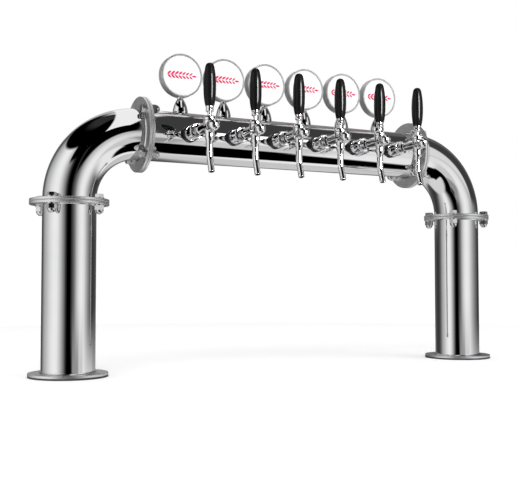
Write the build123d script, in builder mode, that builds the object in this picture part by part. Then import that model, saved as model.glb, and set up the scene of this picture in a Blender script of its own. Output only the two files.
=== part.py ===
"""Bridge beer tap tower: two columns, two elbows and a cross tube that carries six taps and six badges.

Frame: millimetres, +Z up, the taps face -Y, and the origin is midway between the columns, on the
plane that the tower stands on. A tap's own places are given as forward (towards -Y) and up, both
counted from the axis of the cross tube.
"""

import os
from math import asin, cos, radians, sin, sqrt, tan

from build123d import *

# Driving dimensions of the frame
TUBE_RADIUS = 50.8
TUBE_BORE = 49.3
COLUMN_X = 465.0
BAR_HEIGHT = 470.0
BEND_RADIUS = 134.5

# Flanges and their joints
FLANGE_RADIUS = 75.0
FLANGE_THICKNESS = 5.0
FLANGE_EDGE = 0.8
JOINT_GASKET = 1.0
BASE_GASKET = 3.0
WELD_RADIUS = 2.0
BOLT_CIRCLE = 63.5
BOLT_HOLE = 5.5
BOLT_RADIUS = 5.0
BOLT_LENGTH = 27.0
BOLT_HEAD_FLATS = 16.0
BOLT_HEAD_HEIGHT = 6.4
HEX_CHAMFER = 30.0
HEX_TOP_SHARE = 0.96
NUT_FLATS = 17.0
NUT_HEX_HEIGHT = 9.0
NUT_DOME_RADIUS = 8.0
NUT_BORE = 5.1
NUT_BORE_DEPTH = 13.0
WASHER_RADIUS = 9.5
WASHER_THICKNESS = 2.0

# Taps, in forward and up from the axis of the cross tube
TAP_PITCH = 96.0
TAP_COUNT = 6
TAP_FORWARD = 150.0
PIVOT_UP = 14.0
BALL_RADIUS = 8.0
BALL_FIT = 0.05
SHANK_RADIUS = 11.1
SHANK_HOLE = 11.3
SHANK_BORE = 3.2
SHANK_BACK = 8.0
SHANK_FRONT = 84.0
COLLAR_FRONT = 60.0
COLLAR_RADIUS = 16.5
SPOUT_RADIUS = 6.1
SPOUT_BORE = 4.4
SPOUT_LEAN = 18.0
SPOUT_BEND = 70.0
SPOUT_STRAIGHT = 22.0
SPOUT_BEND_UP = -44.0
PLUNGER_RADIUS = 4.2
GUIDE_RADIUS = 4.25
FINGER_RADIUS = 2.4
SLOT_LENGTH = 5.4
SLOT_WIDTH = 5.2
HANDLE_FOOT = 38.0
HANDLE_TOP = 120.5
STUD_TOP = 54.0
STUD_RADIUS = 4.6
STUD_HOLE = 4.7

# Badges, in up from the axis of the cross tube
BADGE_UP = 126.0
BADGE_RADIUS = 44.0
BADGE_HALF_DEPTH = 11.0
BADGE_WALL = 3.0
NECK_HOLE = 5.2

# Beer lines and wiring
LINE_RADIUS = 4.9
LINE_BORE = 3.3
LINE_BACK = 30.0
LINE_SPREAD = 14.0
LINE_SIDESTEP = 32.0
LINE_START = 1.5
LINE_END = 2.0
LINE_FIRST_BEND = 22.0
LINE_SECOND_BEND = 40.0
LOOM_UP = 30.0
LOOM_RADIUS = 2.5
LEAD_RADIUS = 1.5
INSULATION_BORE = 40.5
INSULATION_RADIUS = 48.8
INSULATION_START = 12.0
INSULATION_SHORT = 20.0

TAP_X = [(number - (TAP_COUNT - 1) / 2) * TAP_PITCH for number in range(TAP_COUNT)]
TAP_SPOTS = [(x, 0, 0) for x in TAP_X]
SIDES = {"left": -1, "right": 1}

# Looking along -X at a tap: local X is forward and local Y is up
SIDE_VIEW = Plane(origin=(0, 0, BAR_HEIGHT), x_dir=(0, -1, 0), z_dir=(-1, 0, 0))
TAP_AXIS = Axis((0, 0, BAR_HEIGHT), (0, -1, 0))
LEVER_AXIS = Axis((0, -TAP_FORWARD, BAR_HEIGHT), (0, 0, 1))
NECK_AXIS = Axis((0, 0, BAR_HEIGHT), (0, 0, 1))
BADGE_AXIS = Axis((0, 0, BAR_HEIGHT + BADGE_UP), (0, -1, 0))


def front_view(x, y, z):
    """Plane facing forward, with local X to the right and local Y up."""
    return Plane(origin=(x, y, z), x_dir=(1, 0, 0), z_dir=(0, -1, 0))


def end_view(x, z):
    """Plane across the cross tube, with local X backward and local Y up."""
    return Plane(origin=(x, 0, z), x_dir=(0, 1, 0), z_dir=(1, 0, 0))


def write(part, name):
    """Label a finished part and write its file."""
    part.label = name
    export_step(part, f"parts/{name}.step")


def outline(points, plane=SIDE_VIEW):
    """Face inside a closed outline of straight lines."""
    with BuildSketch(plane) as face:
        with BuildLine():
            Polyline(*points, close=True)
        make_face()
    return face.sketch


def lever_outline(points):
    """Outline of a piece turned about the lever's axis: radius, and up."""
    return outline([(TAP_FORWARD + radius, up) for radius, up in points])


def copies(part, spots=TAP_SPOTS):
    """The same part at each spot, as one group of solids."""
    with BuildPart() as group:
        with Locations(*spots):
            add(part)
    return group.part


def flange_face(plane, holes=True):
    """Ring of a flange or gasket, with its four bolt holes."""
    with BuildSketch(plane) as ring:
        Circle(FLANGE_RADIUS)
        Circle(TUBE_BORE, mode=Mode.SUBTRACT)
        if holes:
            with PolarLocations(BOLT_CIRCLE, 4, start_angle=45):
                Circle(BOLT_HOLE, mode=Mode.SUBTRACT)
    return ring.sketch


def tube_face(plane):
    """Ring of the tube's wall."""
    with BuildSketch(plane) as ring:
        Circle(TUBE_RADIUS)
        Circle(TUBE_BORE, mode=Mode.SUBTRACT)
    return ring.sketch


def circles(part, radius):
    """Circular edges of one radius."""
    edges = part.edges().filter_by(GeomType.CIRCLE)
    return edges.filter_by(lambda edge: abs(edge.radius - radius) < 0.01)


def finish_flanges(part):
    """Weld beads where the tube meets its flanges, and soft edges on the flanges' rims."""
    fillet(circles(part, TUBE_RADIUS), WELD_RADIUS)
    fillet(circles(part, FLANGE_RADIUS), FLANGE_EDGE)


# Joint planes, at the middle of each gasket, with local Z towards the elbow
JOINT_RISE = BEND_RADIUS + FLANGE_THICKNESS + JOINT_GASKET / 2
HALF_GASKET = JOINT_GASKET / 2
COLUMN_TOP = BAR_HEIGHT - JOINT_RISE
BAR_END = COLUMN_X - JOINT_RISE


def column_joint(side):
    return Plane(origin=(side * COLUMN_X, 0, COLUMN_TOP), x_dir=(1, 0, 0), z_dir=(0, 0, 1))


def bar_joint(side):
    return Plane(origin=(side * BAR_END, 0, BAR_HEIGHT), x_dir=(0, 1, 0), z_dir=(side, 0, 0))


JOINTS = [make(side) for side in SIDES.values() for make in (column_joint, bar_joint)]


def make_column(side):
    """Upright tube with its base flange and top flange welded on."""
    base = Plane.XY.offset(BASE_GASKET).move(Location((side * COLUMN_X, 0, 0)))
    top = column_joint(side).offset(-HALF_GASKET)
    with BuildPart() as column:
        extrude(flange_face(base), amount=FLANGE_THICKNESS)
        extrude(tube_face(base), amount=COLUMN_TOP - HALF_GASKET - BASE_GASKET)
        extrude(flange_face(top), amount=-FLANGE_THICKNESS)
        finish_flanges(column)
    return column.part


def make_elbow(side):
    """Quarter bend between a column and the cross tube, with a flange on each end."""
    foot = column_joint(side).offset(HALF_GASKET)
    head = bar_joint(side).offset(HALF_GASKET)
    bend_centre = (side * (COLUMN_X - BEND_RADIUS), 0, BAR_HEIGHT - BEND_RADIUS)
    with BuildPart() as elbow:
        revolve(tube_face(foot.offset(FLANGE_THICKNESS)), Axis(bend_centre, (0, -side, 0)), 90)
        extrude(flange_face(foot), amount=FLANGE_THICKNESS)
        extrude(flange_face(head), amount=FLANGE_THICKNESS)
        finish_flanges(elbow)
    return elbow.part


def make_cross_tube():
    """Cross tube with its end flanges, tap holes in front and badge holes on top."""
    start = bar_joint(-1).offset(-HALF_GASKET)
    end = bar_joint(1).offset(-HALF_GASKET)
    with BuildPart() as tube:
        extrude(tube_face(start), amount=-2 * (BAR_END - HALF_GASKET))
        for face in (start, end):
            extrude(flange_face(face), amount=-FLANGE_THICKNESS)
        finish_flanges(tube)
        for x in TAP_X:
            with BuildSketch(front_view(x, 0, BAR_HEIGHT)):
                Circle(SHANK_HOLE)
            extrude(amount=TUBE_RADIUS, mode=Mode.SUBTRACT)
            with BuildSketch(Plane.XY.move(Location((x, 0, BAR_HEIGHT)))):
                Circle(NECK_HOLE)
            extrude(amount=TUBE_RADIUS, mode=Mode.SUBTRACT)
    return tube.part


def make_base_gasket(side):
    """Rubber ring under a base flange."""
    with BuildPart() as gasket:
        extrude(flange_face(Plane.XY.move(Location((side * COLUMN_X, 0, 0)))), amount=BASE_GASKET)
    return gasket.part


def make_flange_gaskets():
    """Thin ring in each of the four bolted joints."""
    with BuildPart() as gaskets:
        for joint in JOINTS:
            extrude(flange_face(joint.offset(-HALF_GASKET)), amount=JOINT_GASKET)
    return gaskets.part


STACK = HALF_GASKET + FLANGE_THICKNESS
GRIP = STACK + WASHER_THICKNESS


def turn_corners(flats, start, end):
    """Turn the corners off a hexagon that stands on local Z = start, at its free end."""
    corner = flats / 2 / cos(radians(30)) + FLANGE_EDGE
    crown = flats / 2 * HEX_TOP_SHARE
    drop = (corner - crown) * tan(radians(HEX_CHAMFER)) * (1 if end > start else -1)
    section = [(0, start), (corner, start), (corner, end - drop), (crown, end), (0, end)]
    revolve(outline(section, Plane.XZ), Axis.Z, mode=Mode.INTERSECT)


def make_bolt():
    """Hexagon bolt, with the underside of its head on local Z = 0 and its shank downward."""
    with BuildPart() as bolt:
        with BuildSketch():
            RegularPolygon(BOLT_HEAD_FLATS / 2, 6, major_radius=False)
        extrude(amount=BOLT_HEAD_HEIGHT)
        turn_corners(BOLT_HEAD_FLATS, 0, BOLT_HEAD_HEIGHT)
        with BuildSketch():
            Circle(BOLT_RADIUS)
        extrude(amount=-BOLT_LENGTH)
    return bolt.part


def make_flange_bolts():
    """Four bolts in each joint, with their heads on the elbow side."""
    bolt = make_bolt()
    with BuildPart() as bolts:
        for joint in JOINTS:
            with Locations(joint.offset(GRIP)):
                with PolarLocations(BOLT_CIRCLE, 4, start_angle=45):
                    add(bolt)
    return bolts.part


def make_flange_washers():
    """A flat washer under each bolt head and each nut."""
    with BuildPart() as washers:
        for joint in JOINTS:
            for height in (STACK, -GRIP):
                with BuildSketch(joint.offset(height)):
                    with PolarLocations(BOLT_CIRCLE, 4, start_angle=45):
                        Circle(WASHER_RADIUS)
                        Circle(BOLT_HOLE, mode=Mode.SUBTRACT)
                extrude(amount=WASHER_THICKNESS)
    return washers.part


def make_dome_nut():
    """Domed cap nut, standing on local Z = 0 with its dome down."""
    with BuildPart() as nut:
        with BuildSketch():
            RegularPolygon(NUT_FLATS / 2, 6, major_radius=False)
        extrude(amount=-NUT_HEX_HEIGHT)
        turn_corners(NUT_FLATS, 0, -NUT_HEX_HEIGHT)
        with Locations((0, 0, -NUT_HEX_HEIGHT)):
            Sphere(NUT_DOME_RADIUS)
        with BuildSketch():
            Circle(NUT_BORE)
        extrude(amount=-NUT_BORE_DEPTH, mode=Mode.SUBTRACT)
        split(bisect_by=Plane.XY, keep=Keep.BOTTOM)
    return nut.part


def make_flange_dome_nuts():
    """Four cap nuts on the tube side of each joint."""
    nut = make_dome_nut()
    with BuildPart() as nuts:
        for joint in JOINTS:
            with Locations(joint.offset(-GRIP)):
                with PolarLocations(BOLT_CIRCLE, 4, start_angle=45):
                    add(nut)
    return nuts.part


# Tap pieces, each made once in the plane X = 0

def ring(back, front, inner, outer, axis=TAP_AXIS):
    """Plain turned ring about the axis of a tap."""
    with BuildPart() as piece:
        revolve(outline([(back, inner), (front, inner), (front, outer), (back, outer)]), axis)
    return piece.part


def make_shank():
    """Threaded shank through the wall of the cross tube, with the flange that clamps the collar."""
    flange_front, flange_radius, flange_edge, pitch, depth = COLLAR_FRONT + 4, 15.0, 0.6, 2.0, 0.7
    root = SHANK_RADIUS - depth
    profile = [(SHANK_BACK, SHANK_BORE), (SHANK_BACK, SHANK_RADIUS), (COLLAR_FRONT, SHANK_RADIUS)]
    profile += [(COLLAR_FRONT, flange_radius), (flange_front, flange_radius), (flange_front, root)]
    for turn in range(int((SHANK_FRONT - flange_front) / pitch)):
        start = flange_front + turn * pitch
        profile.append((start + pitch / 2, SHANK_RADIUS))
        profile.append((start + pitch, root))
    profile.append((SHANK_FRONT, SHANK_BORE))
    with BuildPart() as shank:
        revolve(outline(profile), TAP_AXIS)
        fillet(circles(shank, flange_radius), flange_edge)
    return shank.part


def make_shank_collar():
    """Black collar whose back is hollowed to sit on the round tube."""
    back, collar_edge = sqrt(TUBE_RADIUS**2 - COLLAR_RADIUS**2) - 1, 1.5
    with BuildPart() as collar:
        add(ring(back, COLLAR_FRONT, SHANK_HOLE, COLLAR_RADIUS))
        with BuildSketch(end_view(0, BAR_HEIGHT)):
            Circle(TUBE_RADIUS)
        extrude(amount=COLLAR_RADIUS, both=True, mode=Mode.SUBTRACT)
        fillet(circles(collar, COLLAR_RADIUS), collar_edge)
    return collar.part


def make_hex_nut(flats, back, front, bore):
    """Hexagon nut on the axis of a tap."""
    with BuildPart() as nut:
        with BuildSketch(front_view(0, -back, BAR_HEIGHT)):
            RegularPolygon(flats / 2, 6, major_radius=False)
            Circle(bore, mode=Mode.SUBTRACT)
        extrude(amount=front - back)
    return nut.part


def make_coupling_nut():
    """Fluted nut that pulls the faucet's tail against the shank."""
    back, shoulder, front, radius, tail_hole = 72.0, 88.7, 92.0, 15.5, 9.7
    back_edge, front_edge = 1.2, 2.5
    profile = [(back, SHANK_HOLE), (shoulder, SHANK_HOLE), (shoulder, tail_hole), (front, tail_hole)]
    profile += [(front, radius), (back, radius)]
    flutes, flute_radius, flute_centre = 14, 1.5, radius + 0.5
    flute_back, flute_front = back + 3.0, front - 4.0
    with BuildPart() as nut:
        revolve(outline(profile), TAP_AXIS)
        fillet(circles(nut, radius).sort_by(Axis.Y).first, front_edge)
        fillet(circles(nut, radius).sort_by(Axis.Y).last, back_edge)
        with BuildSketch(front_view(0, -flute_back, BAR_HEIGHT)):
            with PolarLocations(flute_centre, flutes):
                Circle(flute_radius)
        extrude(amount=flute_front - flute_back, mode=Mode.SUBTRACT)
    return nut.part


SEAT_BACK, SEAT_FRONT, SEAT_BORE = 110.0, 113.0, 4.6
TAIL_BACK, BODY_FRONT = 85.5, 162.5
CHAMBER_BORE, BARREL_BORE = 7.0, 6.0
BARREL_RADIUS = 11.0
CAP_SEAT, CAP_THREAD = 156.5, 7.4
SOCKET_BORE, SOCKET_FLOOR, BOSS_TOP = 8.4, 8.0, 16.0
FINGER_HOLE = 6.8
SPOUT_SEAT, SPOUT_THREAD = -12.0, 5.5
BODY_FOOT = -19.0
THREAD_GAP = 0.1


def make_faucet_body():
    """Faucet body: turned barrel, lever boss above and spout boss below."""
    ring_radius, ring_edge, foot_blend = 13.0, 0.8, 2.0
    barrel = [(TAIL_BACK, 0), (TAIL_BACK, BARREL_RADIUS), (88.5, BARREL_RADIUS), (88.5, 9.5), (94, 9.5)]
    barrel += [(95, 11.5), (103, 10.5), (105, ring_radius), (108, ring_radius), (110, 10.2)]
    barrel += [(130, BARREL_RADIUS), (160, BARREL_RADIUS), (BODY_FRONT, 10.0), (BODY_FRONT, 0)]
    boss = [(0, 0), (11.8, 0), (11.8, 10), (10, 11), (10, BOSS_TOP), (0, BOSS_TOP)]
    foot = [(0, 0), (10.5, 0), (8.8, -15), (8.8, BODY_FOOT), (0, BODY_FOOT)]
    passage = [(TAIL_BACK, 0), (TAIL_BACK, CHAMBER_BORE), (SEAT_BACK, CHAMBER_BORE), (SEAT_BACK, SEAT_BORE)]
    passage += [(SEAT_FRONT, SEAT_BORE), (SEAT_FRONT, BARREL_BORE), (CAP_SEAT, BARREL_BORE)]
    cap_hole = CAP_THREAD + THREAD_GAP
    passage += [(CAP_SEAT, cap_hole), (BODY_FRONT, cap_hole), (BODY_FRONT, 0)]
    socket = [(0, 0), (FINGER_HOLE, 0), (FINGER_HOLE, SOCKET_FLOOR), (SOCKET_BORE, SOCKET_FLOOR)]
    socket += [(SOCKET_BORE, BOSS_TOP), (0, BOSS_TOP)]
    drop_hole = SPOUT_THREAD + THREAD_GAP
    drop = [(0, 0), (drop_hole, 0), (drop_hole, BODY_FOOT), (0, BODY_FOOT)]
    with BuildPart() as body:
        revolve(outline(barrel), TAP_AXIS)
        revolve(lever_outline(boss), LEVER_AXIS)
        revolve(lever_outline(foot), LEVER_AXIS)
        fillet(body.edges().filter_by(GeomType.BSPLINE).sort_by(Axis.Z).first, foot_blend)
        fillet(circles(body, ring_radius), ring_edge)
        revolve(outline(passage), TAP_AXIS, mode=Mode.SUBTRACT)
        revolve(lever_outline(socket), LEVER_AXIS, mode=Mode.SUBTRACT)
        revolve(lever_outline(drop), LEVER_AXIS, mode=Mode.SUBTRACT)
    return body.part


def make_front_cap():
    """Domed cap that closes the front of the barrel and guides the plunger."""
    guide_end, centre, radius = 175.0, 170.0, 11.0
    rim_radius, rim_front, dome_foot = 10.8, BODY_FRONT + 2.5, radians(115)
    dome_start = (centre + radius * cos(dome_foot), radius * sin(dome_foot))
    dome_middle = (centre + radius * cos(dome_foot / 2), radius * sin(dome_foot / 2))
    tip = (centre + radius, 0)
    inside = [(guide_end, 0), (guide_end, GUIDE_RADIUS), (CAP_SEAT, GUIDE_RADIUS), (CAP_SEAT, CAP_THREAD)]
    rim = [(BODY_FRONT, CAP_THREAD), (BODY_FRONT, rim_radius), (rim_front, rim_radius), dome_start]
    with BuildPart() as cap:
        with BuildSketch(SIDE_VIEW):
            with BuildLine():
                Polyline(*inside, *rim)
                ThreePointArc(dome_start, dome_middle, tip)
                Line(tip, (guide_end, 0))
            make_face()
        revolve(axis=TAP_AXIS)
    return cap.part


def make_plunger():
    """Valve shaft with its bonded rubber seat, and the slot that the lever's finger moves."""
    seal_gap, seal_radius, stem_radius, back, front = 0.1, 5.6, 3.0, 102.0, 173.0
    seal = SEAT_BACK - seal_gap
    profile = [(back, 0), (back, stem_radius), (105.5, stem_radius), (105.5, 5.2), (106.5, seal_radius)]
    profile += [(seal, seal_radius), (seal, stem_radius), (134, stem_radius), (136, PLUNGER_RADIUS)]
    profile += [(front - 1, PLUNGER_RADIUS), (front, 3.2), (front, 0)]
    flat, flat_length, deep, tall = 1.5, 14.0, 10.0, 10.0
    with BuildPart() as plunger:
        revolve(outline(profile), TAP_AXIS)
        with BuildSketch(SIDE_VIEW):
            with Locations((TAP_FORWARD - 1, flat)):
                Rectangle(flat_length, tall, align=(Align.CENTER, Align.MIN))
        extrude(amount=deep, both=True, mode=Mode.SUBTRACT)
        with BuildSketch(SIDE_VIEW):
            with Locations((TAP_FORWARD, 0)):
                Rectangle(SLOT_LENGTH, 2 * stem_radius)
        extrude(amount=SLOT_WIDTH / 2, both=True, mode=Mode.SUBTRACT)
    return plunger.part


def make_lever():
    """Lever: finger, ball, neck, ferrule and the stud that the handle screws on."""
    neck_radius, finger_neck, ferrule_foot, ferrule_radius, ferrule_edge = 4.0, 1.5, 20.0, 7.8, 1.0
    ferrule = [(0, ferrule_foot), (neck_radius, ferrule_foot), (neck_radius, 25), (5.2, 27), (7.4, 28.5)]
    ferrule += [(ferrule_radius, 31), (7.0, 34), (7.6, 36), (7.6, HANDLE_FOOT), (STUD_RADIUS, HANDLE_FOOT)]
    ferrule += [(STUD_RADIUS, STUD_TOP - 1), (STUD_RADIUS - 1, STUD_TOP), (0, STUD_TOP)]
    finger = [(0, 0), (finger_neck, 0), (finger_neck, PIVOT_UP), (0, PIVOT_UP)]
    neck_top = ferrule_foot + 1
    neck = [(0, PIVOT_UP), (neck_radius, PIVOT_UP), (neck_radius, neck_top), (0, neck_top)]
    with BuildPart() as lever:
        with Locations((0, -TAP_FORWARD, BAR_HEIGHT + PIVOT_UP)):
            Sphere(BALL_RADIUS)
        with Locations((0, -TAP_FORWARD, BAR_HEIGHT)):
            Sphere(FINGER_RADIUS)
        for profile in (finger, neck, ferrule):
            revolve(lever_outline(profile), LEVER_AXIS)
        fillet(circles(lever, ferrule_radius), ferrule_edge)
    return lever.part


def make_lever_bonnet():
    """Rounded nut over the lever's ball, with the slot that the neck swings in."""
    skirt, outer, bottom, side_top = 10.1, 12.0, 11.2, 14.0
    ceiling, top, top_radius = 16.2, 20.5, 6.5
    slot_length, slot_width, slot_forward = 19.0, 9.0, 5.0
    under = [(0, ceiling), (skirt, ceiling), (skirt, bottom), (outer, bottom), (outer, side_top)]
    crown = [(outer, side_top), (10.6, 18.0), (top_radius, top)]
    over = [(top_radius, top), (0, top), (0, ceiling)]
    forward = [[(TAP_FORWARD + radius, up) for radius, up in line] for line in (under, crown, over)]
    with BuildPart() as bonnet:
        with BuildSketch(SIDE_VIEW):
            with BuildLine():
                Polyline(*forward[0])
                ThreePointArc(*forward[1])
                Polyline(*forward[2])
            make_face()
        revolve(axis=LEVER_AXIS)
        with Locations((0, -TAP_FORWARD, BAR_HEIGHT + PIVOT_UP)):
            Sphere(BALL_RADIUS + BALL_FIT, mode=Mode.SUBTRACT)
        with BuildSketch(Plane.XY.offset(BAR_HEIGHT + PIVOT_UP)):
            with Locations((0, -TAP_FORWARD - slot_forward)):
                SlotOverall(slot_length, slot_width, rotation=90)
        extrude(amount=top, mode=Mode.SUBTRACT)
    return bonnet.part


def make_lever_seal():
    """Plastic ring that the ball rests on."""
    inner, outer, top = 6.2, 8.3, 11.5
    with BuildPart() as seal:
        profile = [(inner, SOCKET_FLOOR), (outer, SOCKET_FLOOR), (outer, top), (inner, top)]
        revolve(lever_outline(profile), LEVER_AXIS)
        with Locations((0, -TAP_FORWARD, BAR_HEIGHT + PIVOT_UP)):
            Sphere(BALL_RADIUS + BALL_FIT, mode=Mode.SUBTRACT)
    return seal.part


def make_handle():
    """Black handle, slimmest at its foot and round at its top."""
    sides = [(8.0, HANDLE_FOOT), (10.6, 50), (12.1, 74), (11.4, 94), (9.4, 109), (0.0, HANDLE_TOP)]
    hole_depth = STUD_TOP + 1 - HANDLE_FOOT
    with BuildPart() as handle:
        with BuildSketch(SIDE_VIEW):
            with BuildLine():
                points = [(TAP_FORWARD + radius, up) for radius, up in sides]
                Spline(*points, tangents=[(0.35, 1), (-1, 0)])
                Polyline(points[-1], (TAP_FORWARD, HANDLE_FOOT), points[0])
            make_face()
        revolve(axis=LEVER_AXIS)
        with BuildSketch(Plane.XY.offset(BAR_HEIGHT + HANDLE_FOOT)):
            with Locations((0, -TAP_FORWARD)):
                Circle(STUD_HOLE)
        extrude(amount=hole_depth, mode=Mode.SUBTRACT)
    return handle.part


def spout_end():
    """Forward and up of the start and the tip of the spout's straight end."""
    lean = radians(SPOUT_LEAN)
    bend_forward = TAP_FORWARD + SPOUT_BEND * (1 - cos(lean))
    bend_up = SPOUT_BEND_UP - SPOUT_BEND * sin(lean)
    tip_forward = bend_forward + SPOUT_STRAIGHT * sin(lean)
    tip_up = bend_up - SPOUT_STRAIGHT * cos(lean)
    return (bend_forward, bend_up), (tip_forward, tip_up)


def make_spout():
    """Slim spout with the collar that screws into the body, leaning forward at its end."""
    straight_start, tip = spout_end()
    collar_end, tip_edge = -38.0, 0.5
    collar = [(0, SPOUT_SEAT), (SPOUT_THREAD, SPOUT_SEAT), (SPOUT_THREAD, BODY_FOOT), (8.6, BODY_FOOT)]
    collar += [(9.0, -21), (8.6, -24), (7.0, -27), (SPOUT_RADIUS, -34)]
    collar += [(SPOUT_RADIUS, collar_end), (0, collar_end)]
    half = radians(SPOUT_LEAN / 2)
    middle = (TAP_FORWARD + SPOUT_BEND * (1 - cos(half)), SPOUT_BEND_UP - SPOUT_BEND * sin(half))
    bend_start = (TAP_FORWARD, SPOUT_BEND_UP)
    with BuildPart() as spout:
        revolve(lever_outline(collar), LEVER_AXIS)
        with BuildLine(SIDE_VIEW) as path:
            Line((TAP_FORWARD, collar_end), bend_start)
            ThreePointArc(bend_start, middle, straight_start)
            Line(straight_start, tip)
        for radius, mode in ((SPOUT_RADIUS, Mode.ADD), (SPOUT_BORE, Mode.SUBTRACT)):
            with BuildSketch(Plane.XY.offset(BAR_HEIGHT + collar_end)):
                with Locations((0, -TAP_FORWARD)):
                    Circle(radius)
            sweep(path=path.line, mode=mode)
        with BuildSketch(Plane.XY.offset(BAR_HEIGHT + collar_end)):
            with Locations((0, -TAP_FORWARD)):
                Circle(SPOUT_BORE)
        extrude(amount=SPOUT_SEAT - collar_end, mode=Mode.SUBTRACT)
        tip_edges = spout.edges().group_by(Axis.Z)[0] + spout.edges().group_by(Axis.Z)[1]
        fillet(tip_edges.filter_by(GeomType.CIRCLE), tip_edge)
    return spout.part


def make_tailpiece():
    """Barbed tailpiece that the beer line pushes onto, inside the cross tube."""
    bore, flange, flange_back, root, barb = 2.4, 9.0, 5.5, 4.0, 3.25
    profile = [(SHANK_BACK, bore), (SHANK_BACK, flange), (flange_back, flange), (flange_back, root)]
    profile += [(2.0, root), (1.5, barb), (-7.0, barb), (-7.5, 2.9), (-7.5, bore)]
    with BuildPart() as tailpiece:
        revolve(outline(profile), TAP_AXIS)
    return tailpiece.part


def make_tailpiece_nut():
    """Hexagon nut that holds the tailpiece on the shank."""
    flats, back, flange_back, front, tail_hole = 27.0, 2.5, 5.2, 18.0, 4.3
    with BuildPart() as nut:
        add(make_hex_nut(flats, back, front, tail_hole))
        add(ring(flange_back, front, 0, SHANK_HOLE), mode=Mode.SUBTRACT)
    return nut.part


# Badge pieces, each made once in the plane X = 0

def badge_outline(points):
    """Outline of a turned badge piece: forward, and radius about the badge's own axis."""
    return outline([(forward, BADGE_UP + radius) for forward, radius in points])


def make_badge_housing():
    """Drum-shaped housing, open at the front, with posts for the LED board and a hole for the neck."""
    back, front, rim = -BADGE_HALF_DEPTH, BADGE_HALF_DEPTH, BADGE_RADIUS - BADGE_WALL
    floor, ledge_front, ledge = back + BADGE_WALL, 7.0, rim - 2
    back_edge, front_edge, seam, seam_width, seam_depth = 5.0, 1.0, 4.0, 0.8, 0.5
    posts, post_circle, post_radius, post_height = 3, 26.0, 3.0, 5.0
    pin_hole, pin_hole_height = 3.6, 12.0
    profile = [(back, 0), (back, BADGE_RADIUS), (front, BADGE_RADIUS), (front, rim), (ledge_front, rim)]
    profile += [(ledge_front, ledge), (floor, ledge), (floor, 0)]
    groove = [(seam, BADGE_RADIUS - seam_depth), (seam, BADGE_RADIUS + 1)]
    groove += [(seam + seam_width, BADGE_RADIUS + 1), (seam + seam_width, BADGE_RADIUS - seam_depth)]
    with BuildPart() as housing:
        revolve(badge_outline(profile), BADGE_AXIS)
        fillet(circles(housing, BADGE_RADIUS).sort_by(Axis.Y).first, front_edge)
        fillet(circles(housing, BADGE_RADIUS).sort_by(Axis.Y).last, back_edge)
        revolve(badge_outline(groove), BADGE_AXIS, mode=Mode.SUBTRACT)
        with BuildSketch(front_view(0, -floor, BAR_HEIGHT + BADGE_UP)):
            with PolarLocations(post_circle, posts, start_angle=90):
                Circle(post_radius)
        extrude(amount=post_height)
        with BuildSketch(Plane.XY.offset(BAR_HEIGHT + BADGE_UP - BADGE_RADIUS - 2)):
            Circle(pin_hole)
        extrude(amount=pin_hole_height, mode=Mode.SUBTRACT)
    return housing.part


def make_badge_face():
    """White face that snaps into the front of the housing, slightly crowned."""
    radius, back, edge, crown = BADGE_RADIUS - BADGE_WALL - 0.2, 7.0, 9.4, 1.4
    sphere = (radius**2 + crown**2) / (2 * crown)
    centre, half = edge + crown - sphere, asin(radius / sphere) / 2
    rim, tip = (edge, BADGE_UP + radius), (edge + crown, BADGE_UP)
    middle = (centre + sphere * cos(half), BADGE_UP + sphere * sin(half))
    with BuildPart() as face:
        with BuildSketch(SIDE_VIEW):
            with BuildLine():
                Polyline(tip, (back, BADGE_UP), (back, BADGE_UP + radius), rim)
                ThreePointArc(rim, middle, tip)
            make_face()
        revolve(axis=BADGE_AXIS)
    return face.part


def make_badge_neck():
    """Bell-shaped neck between the cross tube and a badge, bored for the lead."""
    foot_radius, top_radius, stud_radius, pin_radius, lead_bore = 15.5, 6.2, 5.0, 3.5, 2.2
    foot, flare_start, flare_end, top = 46.0, 52.5, 79.0, 86.0
    stud_end, stud_top, pin_foot, pin_top = 34.0, 55.0, 75.0, 90.0
    flare = [(foot_radius, flare_start), (12.2, 67.0), (top_radius, flare_end)]
    turned = [(stud_radius, stud_end, stud_top, Mode.ADD), (pin_radius, pin_foot, pin_top, Mode.ADD)]
    turned += [(lead_bore, stud_end, pin_top, Mode.SUBTRACT)]
    with BuildPart() as neck:
        with BuildSketch(SIDE_VIEW):
            with BuildLine():
                Polyline((0, top), (0, foot), (foot_radius, foot), flare[0])
                ThreePointArc(*flare)
                Polyline(flare[-1], (top_radius, top), (0, top))
            make_face()
        revolve(axis=NECK_AXIS)
        with BuildSketch(end_view(0, BAR_HEIGHT)):
            Circle(TUBE_RADIUS)
        extrude(amount=TUBE_RADIUS, both=True, mode=Mode.SUBTRACT)
        with BuildSketch(front_view(0, 0, BAR_HEIGHT + BADGE_UP)):
            Circle(BADGE_RADIUS)
        extrude(amount=BADGE_RADIUS, both=True, mode=Mode.SUBTRACT)
        for radius, low, high, mode in turned:
            with BuildSketch(Plane.XY.offset(BAR_HEIGHT + low)):
                Circle(radius)
            extrude(amount=high - low, mode=mode)
    return neck.part


def make_badge_neck_nut():
    """Hexagon nut on the neck's stud, inside the cross tube."""
    flats, bore, foot, height = 16.0, 5.1, 40.0, 8.0
    with BuildPart() as nut:
        with BuildSketch(Plane.XY.offset(BAR_HEIGHT + foot)):
            RegularPolygon(flats / 2, 6, major_radius=False)
            Circle(bore, mode=Mode.SUBTRACT)
        extrude(amount=height)
    return nut.part


def make_led_board():
    """Round LED board on the housing's posts."""
    back, front, radius = -3.0, -1.4, 33.0
    with BuildPart() as board:
        revolve(badge_outline([(back, 0), (back, radius), (front, radius), (front, 0)]), BADGE_AXIS)
    return board.part


# Lines, wiring and insulation inside the tubes

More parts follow.
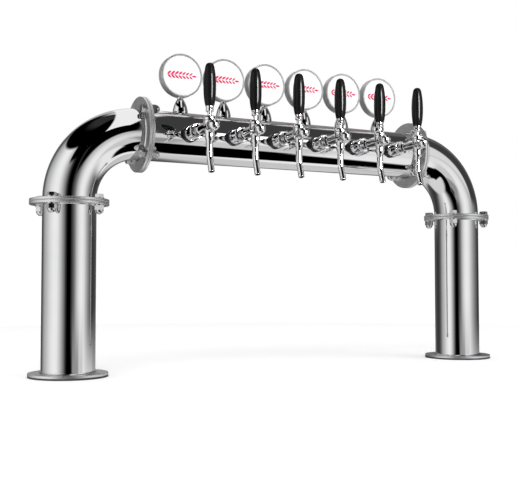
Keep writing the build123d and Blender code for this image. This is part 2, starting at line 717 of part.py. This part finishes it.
def make_beer_line(x, side, spread):
    """Hose from a tailpiece, along the cross tube, round the elbow and down the column."""
    along = side * (COLUMN_X + spread)
    step = x + side * LINE_SIDESTEP
    height = BAR_HEIGHT + spread
    points = [(x, -LINE_START, BAR_HEIGHT), (x, LINE_BACK, BAR_HEIGHT), (step, LINE_BACK, height)]
    points += [(along, LINE_BACK, height), (along, LINE_BACK, LINE_END)]
    radii = [LINE_FIRST_BEND, LINE_SECOND_BEND, BEND_RADIUS + spread]
    if spread == 0:
        points.pop(2)
        radii.pop(1)
    with BuildPart() as line:
        with BuildLine(mode=Mode.PRIVATE) as path:
            FilletPolyline(*points, radius=radii)
        for edge in path.edges():
            with BuildSketch(Plane(edge.position_at(0), z_dir=edge.tangent_at(0))):
                Circle(LINE_RADIUS)
                Circle(LINE_BORE, mode=Mode.SUBTRACT)
            sweep(path=edge)
    return line.part


def make_beer_lines():
    """Three lines to each column, one above another in the cross tube."""
    with BuildPart() as lines:
        for side in SIDES.values():
            for number, spread in enumerate((-LINE_SPREAD, LINE_SPREAD, 0)):
                add(make_beer_line(side * (number + 0.5) * TAP_PITCH, side, spread))
    return lines.part


def make_led_loom():
    """Lead along the top of the cross tube and down the right column, with a branch to each badge."""
    far_x = COLUMN_X + LOOM_UP
    height = BAR_HEIGHT + LOOM_UP
    start, branch_top = TAP_X[0] - 6, 91.5
    route = [(start, 0, height), (far_x, 0, height), (far_x, 0, LINE_END)]
    with BuildPart() as loom:
        with BuildLine(mode=Mode.PRIVATE) as path:
            FilletPolyline(*route, radius=BEND_RADIUS + LOOM_UP)
        for edge in path.edges():
            with BuildSketch(Plane(edge.position_at(0), z_dir=edge.tangent_at(0))):
                Circle(LOOM_RADIUS)
            sweep(path=edge)
        for x in TAP_X:
            with BuildSketch(Plane.XY.move(Location((x, 0, height)))):
                Circle(LEAD_RADIUS)
            extrude(amount=branch_top - LOOM_UP)
    return loom.part


def make_column_insulation():
    """Foam sleeve inside each column."""
    with BuildPart() as insulation:
        for side in SIDES.values():
            with BuildSketch(Plane.XY.move(Location((side * COLUMN_X, 0, INSULATION_START)))):
                Circle(INSULATION_RADIUS)
                Circle(INSULATION_BORE, mode=Mode.SUBTRACT)
            extrude(amount=COLUMN_TOP - INSULATION_SHORT)
    return insulation.part


os.makedirs("parts", exist_ok=True)

for name, side in SIDES.items():
    write(make_column(side), f"column_{name}")
    write(make_elbow(side), f"elbow_{name}")
    write(make_base_gasket(side), f"base_gasket_{name}")
write(make_cross_tube(), "cross_tube")
write(make_flange_gaskets(), "flange_gaskets")
write(make_flange_bolts(), "flange_bolts")
write(make_flange_washers(), "flange_washers")
write(make_flange_dome_nuts(), "flange_dome_nuts")
write(make_beer_lines(), "beer_lines")
write(make_led_loom(), "led_loom")
write(make_column_insulation(), "column_insulation")

NUMBERED = {
    "faucet_body": make_faucet_body(),
    "plunger": make_plunger(),
    "lever": make_lever(),
    "handle": make_handle(),
    "badge_housing": make_badge_housing(),
}
for kind, piece in NUMBERED.items():
    for number, spot in enumerate(TAP_SPOTS, start=1):
        write(copies(piece, [spot]), f"{kind}_{number}")

GROUPS = {
    "tap_shanks": make_shank(),
    "shank_collars": make_shank_collar(),
    "shank_lock_nuts": make_hex_nut(30.0, 38.0, 46.0, SHANK_HOLE),
    "coupling_nuts": make_coupling_nut(),
    "tail_washers": ring(SHANK_FRONT, TAIL_BACK, 4.5, 11.0),
    "lever_bonnets": make_lever_bonnet(),
    "lever_seals": make_lever_seal(),
    "front_caps": make_front_cap(),
    "spouts": make_spout(),
    "tailpieces": make_tailpiece(),
    "tailpiece_nuts": make_tailpiece_nut(),
    "hose_clamps": ring(-6.5, -0.5, 5.0, 6.3),
    "badge_faces": make_badge_face(),
    "badge_necks": make_badge_neck(),
    "badge_neck_nuts": make_badge_neck_nut(),
    "led_boards": make_led_board(),
}
for name, piece in GROUPS.items():
    write(copies(piece), name)
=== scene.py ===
import math

import bmesh
import bpy
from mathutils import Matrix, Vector


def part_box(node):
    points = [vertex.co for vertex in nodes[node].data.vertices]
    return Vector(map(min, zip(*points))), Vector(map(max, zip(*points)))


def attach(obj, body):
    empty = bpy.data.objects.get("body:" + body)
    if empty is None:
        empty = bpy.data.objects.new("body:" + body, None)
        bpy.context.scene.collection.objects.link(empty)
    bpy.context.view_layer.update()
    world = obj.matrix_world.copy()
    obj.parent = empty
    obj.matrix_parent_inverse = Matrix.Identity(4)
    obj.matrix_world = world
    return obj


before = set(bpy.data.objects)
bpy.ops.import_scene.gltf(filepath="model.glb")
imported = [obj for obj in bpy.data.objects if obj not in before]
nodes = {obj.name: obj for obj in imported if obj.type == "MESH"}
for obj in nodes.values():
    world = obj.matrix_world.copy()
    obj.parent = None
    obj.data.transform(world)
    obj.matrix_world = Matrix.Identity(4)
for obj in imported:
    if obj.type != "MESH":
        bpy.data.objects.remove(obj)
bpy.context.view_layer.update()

MM = 0.001
TAPS = range(1, 7)


def middle(node):
    """Middle of a CAD node's box at rest."""
    low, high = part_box(node)
    return (low + high) / 2


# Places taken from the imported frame
BAR_UP = middle("cross_tube").z
TAP_X = [middle(f"faucet_body_{i}").x for i in TAPS]
BADGE_UP = middle("badge_housing_1").z
BADGE_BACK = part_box("badge_housing_1")[1].y / MM
COLUMN_X = middle("column_right").x

# Also the CAD model's: the tubes' outside radius and the radius of the elbows' centrelines
TUBE_OUTSIDE = 50.8 * MM
BEND = 134.5 * MM


# ---------------------------------------------------------------- materials

class Nodes:
    """A material's node tree, with short ways to add nodes to it."""

    def __init__(self, name):
        self.material = bpy.data.materials.new(name)
        self.material.use_nodes = True
        self.tree = self.material.node_tree
        self.shader = self.tree.nodes["Principled BSDF"]

    def add(self, kind, **values):
        node = self.tree.nodes.new("ShaderNode" + kind)
        for key, value in values.items():
            if key in node.inputs:
                node.inputs[key].default_value = value
            else:
                setattr(node, key, value)
        return node

    def link(self, output, target):
        self.tree.links.new(output, target)

    def stretched(self, scale=(1, 1, 1)):
        """Object coordinates in metres, stretched."""
        mapping = self.add("Mapping", Scale=scale)
        self.link(self.add("TexCoord").outputs["Object"], mapping.inputs["Vector"])
        return mapping.outputs["Vector"]

    def axes(self):
        """The three object coordinates in metres."""
        split = self.add("SeparateXYZ")
        self.link(self.add("TexCoord").outputs["Object"], split.inputs[0])
        return split.outputs

    def noise(self, coordinates, scale, detail=4.0, roughness=0.5):
        node = self.add("TexNoise", Scale=scale, Detail=detail, Roughness=roughness)
        self.link(coordinates, node.inputs["Vector"])
        return node.outputs["Fac"]

    def between(self, value, low, high, start=0.3, end=0.7):
        """Number that goes from low to high as the value goes from start to end."""
        node = self.add("MapRange")
        node.inputs["From Min"].default_value = start
        node.inputs["From Max"].default_value = end
        node.inputs["To Min"].default_value = low
        node.inputs["To Max"].default_value = high
        self.link(value, node.inputs["Value"])
        return node.outputs["Result"]

    def feed(self, sockets, values):
        """Give each socket its number, or link another node's output to it."""
        for socket, value in zip(sockets, values):
            if isinstance(value, (int, float)):
                socket.default_value = value
            else:
                self.link(value, socket)

    def calculate(self, operation, first, second=0.0):
        node = self.add("Math", operation=operation)
        self.feed(node.inputs, (first, second))
        return node.outputs[0]

    def mixed(self, factor, first, second):
        """Number between two others."""
        node = self.add("Mix")
        self.feed((node.inputs[0], node.inputs[2], node.inputs[3]), (factor, first, second))
        return node.outputs[0]

    def colours(self, value, first, second):
        """Colour between two others."""
        node = self.add("Mix", data_type="RGBA")
        for socket, colour in ((node.inputs[6], first), (node.inputs[7], second)):
            socket.default_value = (*colour, 1)
        self.link(value, node.inputs[0])
        return node.outputs[2]

    def bump(self, height, distance):
        node = self.add("Bump", Distance=distance, Strength=1.0)
        self.link(height, node.inputs["Height"])
        self.link(node.outputs["Normal"], self.shader.inputs["Normal"])

    def set(self, **values):
        """Set numbers and colours on the shader's own sockets."""
        for key, value in values.items():
            self.shader.inputs[key.replace("_", " ")].default_value = value


# Noise scales, per metre
SMEARS, SPOTS, PATCHES, TURNING = 17.0, 210.0, 38.0, 60.0
# Noise values between which a dull spot sets in
SPOT_START, SPOT_FULL = 0.66, 0.76
# Where a flange's face takes over from the tube's mirror polish, as distance outside the tube
FLANGE_START, FLANGE_FULL = 1.8 * MM, 2.8 * MM


def metal_nodes(name, colour, dull, smooth, rough, grain=(1, 1, 1), grain_scale=900.0, depth=1e-6):
    """Polished metal: faint smears, polishing lines along the grain and small dull spots."""
    made = Nodes(name)
    made.set(Metallic=1.0)
    smears = made.noise(made.stretched(), SMEARS, 5.0, 0.6)
    lines = made.noise(made.stretched(grain), grain_scale, 3.0, 0.7)
    spots = made.between(made.noise(made.stretched(), SPOTS, 2.0), 0.0, 1.0, SPOT_START, SPOT_FULL)
    made.link(made.colours(made.between(smears, 0.0, 1.0), colour, dull), made.shader.inputs["Base Color"])
    polish = made.calculate("MULTIPLY", made.between(lines, 0.6, 1.4), made.between(smears, smooth, rough))
    roughness = made.calculate("ADD", polish, made.calculate("MULTIPLY", spots, rough))
    made.link(roughness, made.shader.inputs["Roughness"])
    made.bump(lines, depth)
    return made


def metal(*values):
    """The same, when only the finished material is needed."""
    return metal_nodes(*values).material


def moulded(name, colour, worn, smooth, rough, grain_scale=1400.0, depth=4e-6, **values):
    """Moulded plastic or rubber: a fine grain, patches of wear and slight colour change."""
    made = Nodes(name)
    made.set(**values)
    patches = made.noise(made.stretched(), PATCHES, 4.0, 0.6)
    grain = made.noise(made.stretched(), grain_scale, 2.0, 0.6)
    made.link(made.colours(made.between(patches, 0.0, 1.0), colour, worn), made.shader.inputs["Base Color"])
    made.link(made.between(patches, smooth, rough), made.shader.inputs["Roughness"])
    made.bump(grain, depth)
    return made.material


def tube_steel(name, axis_distance):
    """Mirror-polished tube with turned satin flanges, told apart by the distance from the tube's axis."""
    made = metal_nodes(name, *STEEL)
    distance = axis_distance(made, *made.axes())
    flange = made.between(distance, 0.0, 1.0, TUBE_OUTSIDE + FLANGE_START, TUBE_OUTSIDE + FLANGE_FULL)
    satin = made.between(made.noise(made.stretched(), TURNING, 2.0), 0.36, 0.46)
    polished = made.shader.inputs["Roughness"].links[0].from_socket
    made.link(made.mixed(flange, polished, satin), made.shader.inputs["Roughness"])
    return made.material


def hypotenuse(made, first, second):
    squares = [made.calculate("MULTIPLY", side, side) for side in (first, second)]
    return made.calculate("SQRT", made.calculate("ADD", *squares))


def bar_distance(made, x, y, z):
    return hypotenuse(made, y, made.calculate("SUBTRACT", z, BAR_UP))


def column_distance(made, x, y, z):
    return hypotenuse(made, made.calculate("SUBTRACT", made.calculate("ABSOLUTE", x), COLUMN_X), y)


def elbow_distance(made, x, y, z):
    out = made.calculate("SUBTRACT", made.calculate("ABSOLUTE", x), COLUMN_X - BEND)
    bend = hypotenuse(made, out, made.calculate("SUBTRACT", z, BAR_UP - BEND))
    return hypotenuse(made, made.calculate("SUBTRACT", bend, BEND), y)


# Each finish: colour, its duller or worn colour, roughness where smooth and where dull or worn
STEEL = ((0.86, 0.86, 0.865), (0.82, 0.82, 0.825), 0.018, 0.045)
POLISHED = metal("polished_steel", *STEEL)
HOUSING = metal("housing_satin", (0.93, 0.93, 0.935), (0.88, 0.88, 0.885), 0.5, 0.6)
BAR_STEEL = tube_steel("bar_steel", bar_distance)
COLUMN_STEEL = tube_steel("column_steel", column_distance)
ELBOW_STEEL = tube_steel("elbow_steel", elbow_distance)
CHROME = metal("bright_chrome", (0.88, 0.88, 0.89), (0.84, 0.84, 0.85), 0.02, 0.05)
FASTENER = metal("bolt_steel", (0.74, 0.74, 0.75), (0.66, 0.66, 0.67), 0.15, 0.24)
PLAIN = metal("plain_steel", (0.6, 0.6, 0.61), (0.5, 0.5, 0.51), 0.18, 0.34, (1, 14, 14), 300.0, 6e-6)
HANDLE = moulded("black_handle", (0.002, 0.002, 0.0021), (0.004, 0.004, 0.0042), 0.1, 0.15,
                 Specular_IOR_Level=0.17)
COLLAR = moulded("black_collar", (0.006, 0.006, 0.006), (0.012, 0.012, 0.012), 0.3, 0.46)
FACE = moulded("white_face", (0.95, 0.95, 0.95), (0.92, 0.92, 0.915), 0.10, 0.16, 2200.0, 1e-6,
               Coat_Weight=0.5)
RUBBER = moulded("base_rubber", (0.03, 0.03, 0.03), (0.055, 0.054, 0.052), 0.6, 0.8, 900.0, 2e-5)
GASKET = moulded("pale_gasket", (0.30, 0.30, 0.29), (0.24, 0.24, 0.23), 0.4, 0.55)
LINE = moulded("line_plastic", (0.72, 0.75, 0.78), (0.66, 0.70, 0.72), 0.25, 0.4)
LEAD = moulded("lead_plastic", (0.05, 0.05, 0.05), (0.08, 0.08, 0.078), 0.4, 0.55)
FOAM = moulded("foam", (0.85, 0.83, 0.75), (0.78, 0.75, 0.66), 0.8, 0.95, 700.0, 2e-4)
PRINT = moulded("motif_print", (0.80, 0.035, 0.16), (0.74, 0.03, 0.14), 0.2, 0.3, 2000.0, 1e-6)
COVER_STEEL = metal("cover_satin", (0.9, 0.9, 0.905), (0.84, 0.84, 0.845), 0.3, 0.4, (1, 1, 40), 260.0, 3e-6)
BOARD = moulded("led_board", (0.9, 0.9, 0.88), (0.84, 0.84, 0.81), 0.3, 0.45)
FINISHES = {
    "polished_steel": POLISHED, "bright_chrome": CHROME, "bolt_steel": FASTENER, "plain_steel": PLAIN,
    "black_handle": HANDLE, "black_collar": COLLAR, "white_face": FACE, "base_rubber": RUBBER,
    "pale_gasket": GASKET, "line_plastic": LINE, "lead_plastic": LEAD, "foam": FOAM, "led_board": BOARD,
}
OWN_FINISHES = {
    "cross_tube": BAR_STEEL, "column_left": COLUMN_STEEL, "column_right": COLUMN_STEEL,
    "elbow_left": ELBOW_STEEL, "elbow_right": ELBOW_STEEL,
    **{f"badge_housing_{number}": HOUSING for number in TAPS},
}
for name, node in nodes.items():
    for slot in node.material_slots:
        slot.material = OWN_FINISHES.get(name) or FINISHES[slot.material.name.split(".")[0]]


# ---------------------------------------------------------------- making objects

def show(name, data):
    """Put a new object in the scene."""
    made = bpy.data.objects.new(name, data)
    bpy.context.scene.collection.objects.link(made)
    return made


def finished(name, mesh, *materials):
    """Smooth-shaded mesh data from a bmesh, with its materials."""
    bmesh.ops.recalc_face_normals(mesh, faces=mesh.faces)
    data = bpy.data.meshes.new(name)
    mesh.to_mesh(data)
    mesh.free()
    for material in materials:
        data.materials.append(material)
    for polygon in data.polygons:
        polygon.use_smooth = True
    return data


# ---------------------------------------------------------------- badge motifs

# The CAD model's crowned badge faces in millimetres: forward at the edge and in the middle, and radius
FACE_EDGE, FACE_CROWN, FACE_RADIUS = 9.4, 10.8, 40.8
FACE_SPHERE = (FACE_RADIUS**2 + (FACE_CROWN - FACE_EDGE) ** 2) / (2 * (FACE_CROWN - FACE_EDGE))
MOTIF_RELIEF, MOTIF_SUNK = 0.35, 0.05
# The motif: grains in millimetres, their lean in degrees, and how full their outline and section are
GRAIN_LENGTH, GRAIN_WIDTH, GRAIN_LEAN = 11.8, 4.6, 38
GRAIN_PAIRS, GRAIN_PITCH = 7, 7.8
OUTLINE_POWER, SWELL_POWER = 0.8, 0.6
GRAIN_TAPER, WIDEST_PAIR, PAIR_APART = 0.04, 2, 0.5
EAR_START = -31.5
TIP_START = EAR_START + (GRAIN_PAIRS - 0.3) * GRAIN_PITCH
STALK_START, STALK_LENGTH, STALK_WIDTH = EAR_START - 3, 2 * GRAIN_LENGTH, 1.5


def on_face(right, up, relief):
    """Point on a badge's crowned face, in millimetres from the badge's middle."""
    crown = FACE_CROWN - FACE_SPHERE + math.sqrt(FACE_SPHERE**2 - right**2 - up**2)
    return Vector((right, -(crown + relief), up)) * MM


def leaf(mesh, right, up, angle, length, width, steps=12, across=6):
    """Pointed grain that swells from the face, lying along an angle."""
    rows = []
    for step in range(steps + 1):
        along = step / steps
        half = width / 2 * math.sin(math.pi * along) ** OUTLINE_POWER
        row = []
        for side in range(across + 1):
            offset = (side / across - 0.5) * 2
            swell = math.sqrt(max(0.0, 1 - offset**2)) * math.sin(math.pi * along) ** SWELL_POWER
            x = along * length
            y = offset * half
            row.append(mesh.verts.new(on_face(
                right + x * math.cos(angle) - y * math.sin(angle),
                up + x * math.sin(angle) + y * math.cos(angle),
                MOTIF_RELIEF * swell - MOTIF_SUNK)))
        rows.append(row)
    for low, high in zip(rows, rows[1:]):
        for side in range(across):
            mesh.faces.new((low[side], low[side + 1], high[side + 1], high[side]))
        mesh.faces.new((low[0], high[0], high[-1], low[-1]))


def barley_ear():
    """Ear of barley lying across a badge: grains in pairs, one at the tip, and a bare stalk."""
    mesh = bmesh.new()
    for pair in range(GRAIN_PAIRS):
        right = EAR_START + pair * GRAIN_PITCH
        size = 1 - GRAIN_TAPER * abs(pair - WIDEST_PAIR)
        for side in (-1, 1):
            lean = math.radians(GRAIN_LEAN) * side
            leaf(mesh, right, PAIR_APART * side, lean, GRAIN_LENGTH * size, GRAIN_WIDTH * size)
    leaf(mesh, TIP_START, 0, 0, GRAIN_LENGTH, GRAIN_WIDTH)
    leaf(mesh, STALK_START, 0, 0, STALK_LENGTH, STALK_WIDTH)
    bmesh.ops.remove_doubles(mesh, verts=mesh.verts, dist=1e-6)
    return finished("badge_motif", mesh, PRINT)


ear = barley_ear()
for number, x in enumerate(TAP_X, start=1):
    motif = show(f"badge_motif_{number}", ear)
    motif.location = (x, 0, BADGE_UP)
    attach(motif, "tower")


# ---------------------------------------------------------------- badge backs

# Turned shapes in millimetres: radius, height above the housing's back, and corners (0 for round)
COVER = [(34.0, -0.3, 0), (34.0, 0.4, 0), (33.85, 0.62, 0), (33.6, 0.75, 0), (33.2, 0.8, 0)]
SCREW = [(2.8, 0.6, 0), (2.8, 1.0, 0), (2.65, 1.4, 0), (2.3, 1.75, 0), (1.85, 1.95, 0), (1.5, 2.0, 0),
         (1.45, 1.95, 6), (1.4, 1.0, 6)]
SCREW_CIRCLE = 28.5
SCREW_ANGLES = (90, 210, 330)
COVER_STEPS, SCREW_STEPS = 96, 36
SHARP_ANGLE = math.radians(32)


def turned(mesh, right, up, profile, steps, finish):
    """Turned form standing on a badge's back, from its rim up to its middle."""
    rings = []
    for radius, height, corners in profile:
        ring = []
        for step in range(steps):
            angle = 2 * math.pi * step / steps
            reach = radius
            if corners:
                flat = math.pi / corners
                reach *= math.cos(flat) / math.cos(angle % (2 * flat) - flat)
            ring.append(mesh.verts.new(Vector(
                (right + reach * math.cos(angle), BADGE_BACK + height, up + reach * math.sin(angle))) * MM))
        rings.append(ring)
    faces = [mesh.faces.new(rings[0]), mesh.faces.new(rings[-1])]
    for low, high in zip(rings, rings[1:]):
        for step in range(steps):
            after = (step + 1) % steps
            faces.append(mesh.faces.new((low[step], low[after], high[after], high[step])))
    for face in faces:
        face.material_index = finish


def badge_cover():
    """Cover plate on a badge's back, held by three screws with a hexagon socket."""
    mesh = bmesh.new()
    turned(mesh, 0, 0, COVER, COVER_STEPS, 0)
    for degrees in SCREW_ANGLES:
        angle = math.radians(degrees)
        turned(mesh, SCREW_CIRCLE * math.cos(angle), SCREW_CIRCLE * math.sin(angle), SCREW, SCREW_STEPS, 1)
    data = finished("badge_cover", mesh, COVER_STEEL, FASTENER)
    data.set_sharp_from_angle(angle=SHARP_ANGLE)
    return data


cover = badge_cover()
for number, x in enumerate(TAP_X, start=1):
    plate = show(f"badge_cover_{number}", cover)
    plate.location = (x, 0, BADGE_UP)
    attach(plate, "tower")


# ---------------------------------------------------------------- stage

# The camera's place in metres, its turn and tilt, and its lens and sensor in millimetres
CAMERA = Vector((-0.894, -1.651, 0.181))
CAMERA_YAW = math.radians(26.78)
CAMERA_PITCH = math.radians(2.36)
LENS, SENSOR = 61, 36
# Half the floor's side, the dome's radius and the height of its middle, in metres
FLOOR = 14.0
DOME, DOME_UP = 2.0, 0.3
DOME_AROUND, DOME_UPWARD = 96, 48


def floor_material():
    made = Nodes("stage_floor")
    cloud = made.noise(made.stretched(), 1.3, 3.0)
    made.link(made.colours(cloud, (0.93, 0.93, 0.93), (0.90, 0.90, 0.90)), made.shader.inputs["Base Color"])
    made.set(Roughness=0.7, Emission_Color=(1, 1, 1, 1), Emission_Strength=0.10)
    return made.material


floor_mesh = bpy.data.meshes.new("stage_floor")
corners = [(-FLOOR, -FLOOR, 0), (FLOOR, -FLOOR, 0), (FLOOR, FLOOR, 0), (-FLOOR, FLOOR, 0)]
floor_mesh.from_pydata(corners, [], [(0, 1, 2, 3)])
floor_mesh.materials.append(floor_material())
floor = show("stage_floor", floor_mesh)
floor.visible_glossy = False


# Brightness by angle round from where the camera stands for the front view, in degrees, positive to its
# right. The dome stays in place when the camera moves. These levels and the panels' were chosen from
# brightness readings of the photographed tubes.
SIDE_LIGHT = [
    (-180, 0.10), (-160, 0.08), (-142, 0.04), (-127, 0.05), (-112, 0.14), (-98, 0.42), (-82, 0.60),
    (-67, 0.84), (-54, 0.98), (-42, 0.95), (-32, 0.66), (-22, 0.32), (-12, 0.04), (-6, 0.0), (6, 0.0),
    (13, 0.05), (23, 0.20), (34, 0.60), (45, 0.88), (57, 0.98), (70, 0.84), (82, 0.54), (95, 0.30),
    (110, 0.13), (126, 0.04), (150, 0.05), (180, 0.10),
]
# Panels over it, the later in front of the earlier: turn from and to, rise from and to, softness, brightness
PANELS = [
    (-400, 14, 39, 100, 1.5, 0.0),
    (-27, 14, 27, 100, 2, 0.0),
    (-400, -132, 8, 64, 7, 0.55),
    (-112, -26, 60, 100, 5, 0.03),
    (-172, -116, 64, 100, 5, 0.7),
    (12, 38, 14, 100, 2, 0.0),
    (38, 400, 8, 100, 2, 0.05),
    (66, 91, 8, 42, 3, 0.8),
    (128, 400, 6, 60, 6, 0.12),
    (158, 400, 9, 62, 5, 0.26),
    (-400, -166, 9, 66, 5, 0.26),
    (46, 66, 12, 29, 2, 2.0),
    (12, 46, -34, -10, 5, 0.32),
    (46, 68, -34, -10, 5, 0.66),
    (-400, 400, -100, -54, 6, 0.75),
    (66, 142, -70, -14, 7, 0.95),
    (142, 400, -70, -14, 8, 0.65),
    (-400, -172, -70, -14, 8, 0.65),
    (0, 15, -34, -10, 4, 0.0),
    (14, 24, -34, -20, 4, 0.04),
    (0, 66, -50, -33, 2, 0.0),
    (45, 114, -77, -36, 3, 0.0),
]
# Long soft box overhead, by distance across and along it at unit height
OVERHEAD_TURN = math.radians(22)
OVERHEAD_ACROSS = (-0.19, 0.17)
OVERHEAD_ALONG = (-1.3, 1.15)
OVERHEAD_SOFT = (0.015, 0.03)
# It shows only on the dome's upper part, from this height above the dome's middle, in metres
OVERHEAD_FROM, OVERHEAD_FADE = 0.1, 0.05


def dome_material():
    """What the bright metal mirrors: soft boxes either side and overhead, with dark between them."""
    made = Nodes("stage_dome")
    tree = made.tree
    tree.nodes.remove(made.shader)
    x, y, z = made.axes()
    across = hypotenuse(made, x, y)
    degrees = 180 / math.pi
    ahead = made.calculate("MULTIPLY", y, -1.0)
    turn = made.calculate("MULTIPLY", made.calculate("ARCTAN2", x, ahead), degrees)
    rise = made.calculate("MULTIPLY", made.calculate("ARCTAN2", z, across), degrees)

    def ramp(stops):
        """Brightness by angle round."""
        node = made.add("ValToRGB")
        band = node.color_ramp
        while len(band.elements) < len(stops):
            band.elements.new(0.5)
        for element, (angle, level) in zip(band.elements, stops):
            element.position = 0.5 + angle / 360
            element.color = (level, level, level, 1)
        made.link(made.between(turn, 0.0, 1.0, -180, 180), node.inputs[0])
        return node.outputs[0]

    def step(value, edge, soft):
        """0 below the edge and 1 above it."""
        node = made.add("MapRange", interpolation_type="SMOOTHSTEP")
        node.inputs["From Min"].default_value = edge - soft
        node.inputs["From Max"].default_value = edge + soft
        made.link(value, node.inputs["Value"])
        return node.outputs["Result"]

    def times(first, second):
        return made.calculate("MULTIPLY", first, second)

    def window(value, low, high, soft):
        """1 between two edges and 0 outside them."""
        return times(step(value, low, soft), made.calculate("SUBTRACT", 1.0, step(value, high, soft)))

    total = ramp(SIDE_LIGHT)
    for turn_from, turn_to, rise_from, rise_to, soft, level in PANELS:
        panel = times(window(turn, turn_from, turn_to, soft), window(rise, rise_from, rise_to, soft))
        total = made.mixed(panel, total, level)
    cosine, sine = math.cos(OVERHEAD_TURN), math.sin(OVERHEAD_TURN)
    box_across = made.calculate("DIVIDE", made.calculate("ADD", times(x, cosine), times(y, sine)), z)
    box_along = made.calculate("DIVIDE", made.calculate("SUBTRACT", times(x, sine), times(y, cosine)), z)
    soft_across, soft_along = OVERHEAD_SOFT
    strip = window(box_across, *OVERHEAD_ACROSS, soft_across)
    box = times(strip, window(box_along, *OVERHEAD_ALONG, soft_along))
    total = made.mixed(times(box, step(z, OVERHEAD_FROM, OVERHEAD_FADE)), total, 1.0)
    light = made.add("Emission")
    made.link(total, light.inputs["Strength"])
    made.link(light.outputs[0], tree.nodes["Material Output"].inputs["Surface"])
    made.material.cycles.emission_sampling = "NONE"
    return made.material


dome_mesh = bpy.data.meshes.new("stage_dome")
sphere = bmesh.new()
bmesh.ops.create_uvsphere(sphere, u_segments=DOME_AROUND, v_segments=DOME_UPWARD, radius=DOME)
sphere.to_mesh(dome_mesh)
sphere.free()
dome_mesh.materials.append(dome_material())
dome = show("stage_dome", dome_mesh)
dome.location = (0, 0, DOME_UP)
dome.rotation_euler = (0, 0, math.atan2(CAMERA.x, -CAMERA.y))
dome.visible_camera = False
dome.visible_diffuse = False
dome.visible_transmission = False
dome.visible_shadow = False
dome.visible_volume_scatter = False

world = bpy.data.worlds.new("stage_world")
world.use_nodes = True
background = world.node_tree.nodes["Background"]
background.inputs["Color"].default_value = (1, 1, 1, 1)
background.inputs["Strength"].default_value = 1.0
bpy.context.scene.world = world


def soft_light(name, place, target, size, power):
    """Rectangular lamp that the camera doesn't see. Reflections don't show it unless that is set after."""
    light = bpy.data.lights.new(name, "AREA")
    light.shape = "RECTANGLE"
    light.size, light.size_y = size
    light.energy = power
    lamp = show(name, light)
    lamp.location = place
    lamp.rotation_euler = (Vector(target) - Vector(place)).to_track_quat("-Z", "Y").to_euler()
    lamp.visible_glossy = False
    lamp.visible_camera = False
    return lamp


soft_light("key_light", place=(-1.2, -1.6, 2.4), target=(0, 0, 0.3), size=(1.8, 1.2), power=22)
soft_light("fill_light", place=(1.6, -1.2, 1.6), target=(0, 0, 0.3), size=(1.2, 1.2), power=8)

# A narrow light for the taps only, which draws the bright line down the right side of each handle
lit = bpy.data.collections.new("tap_light_only")
for name, node in nodes.items():
    of_tap = any(slot.material in (HANDLE, CHROME) for slot in node.material_slots)
    if of_tap and not name.startswith("badge"):
        lit.objects.link(node)
tap_light = soft_light("tap_light", place=(0.36, -1.75, 1.0), target=(0, -0.14, 0.58), size=(0.4, 1.0),
                       power=80)
tap_light.visible_glossy = True
tap_light.light_linking.receiver_collection = lit

camera_data = bpy.data.cameras.new("camera")
camera_data.sensor_width = SENSOR
camera_data.lens = LENS
camera = show("camera", camera_data)
camera.location = CAMERA
camera.rotation_euler = (math.pi / 2 + CAMERA_PITCH, 0, -CAMERA_YAW)
bpy.context.scene.camera = camera
bpy.context.scene.view_settings.view_transform = "Standard"
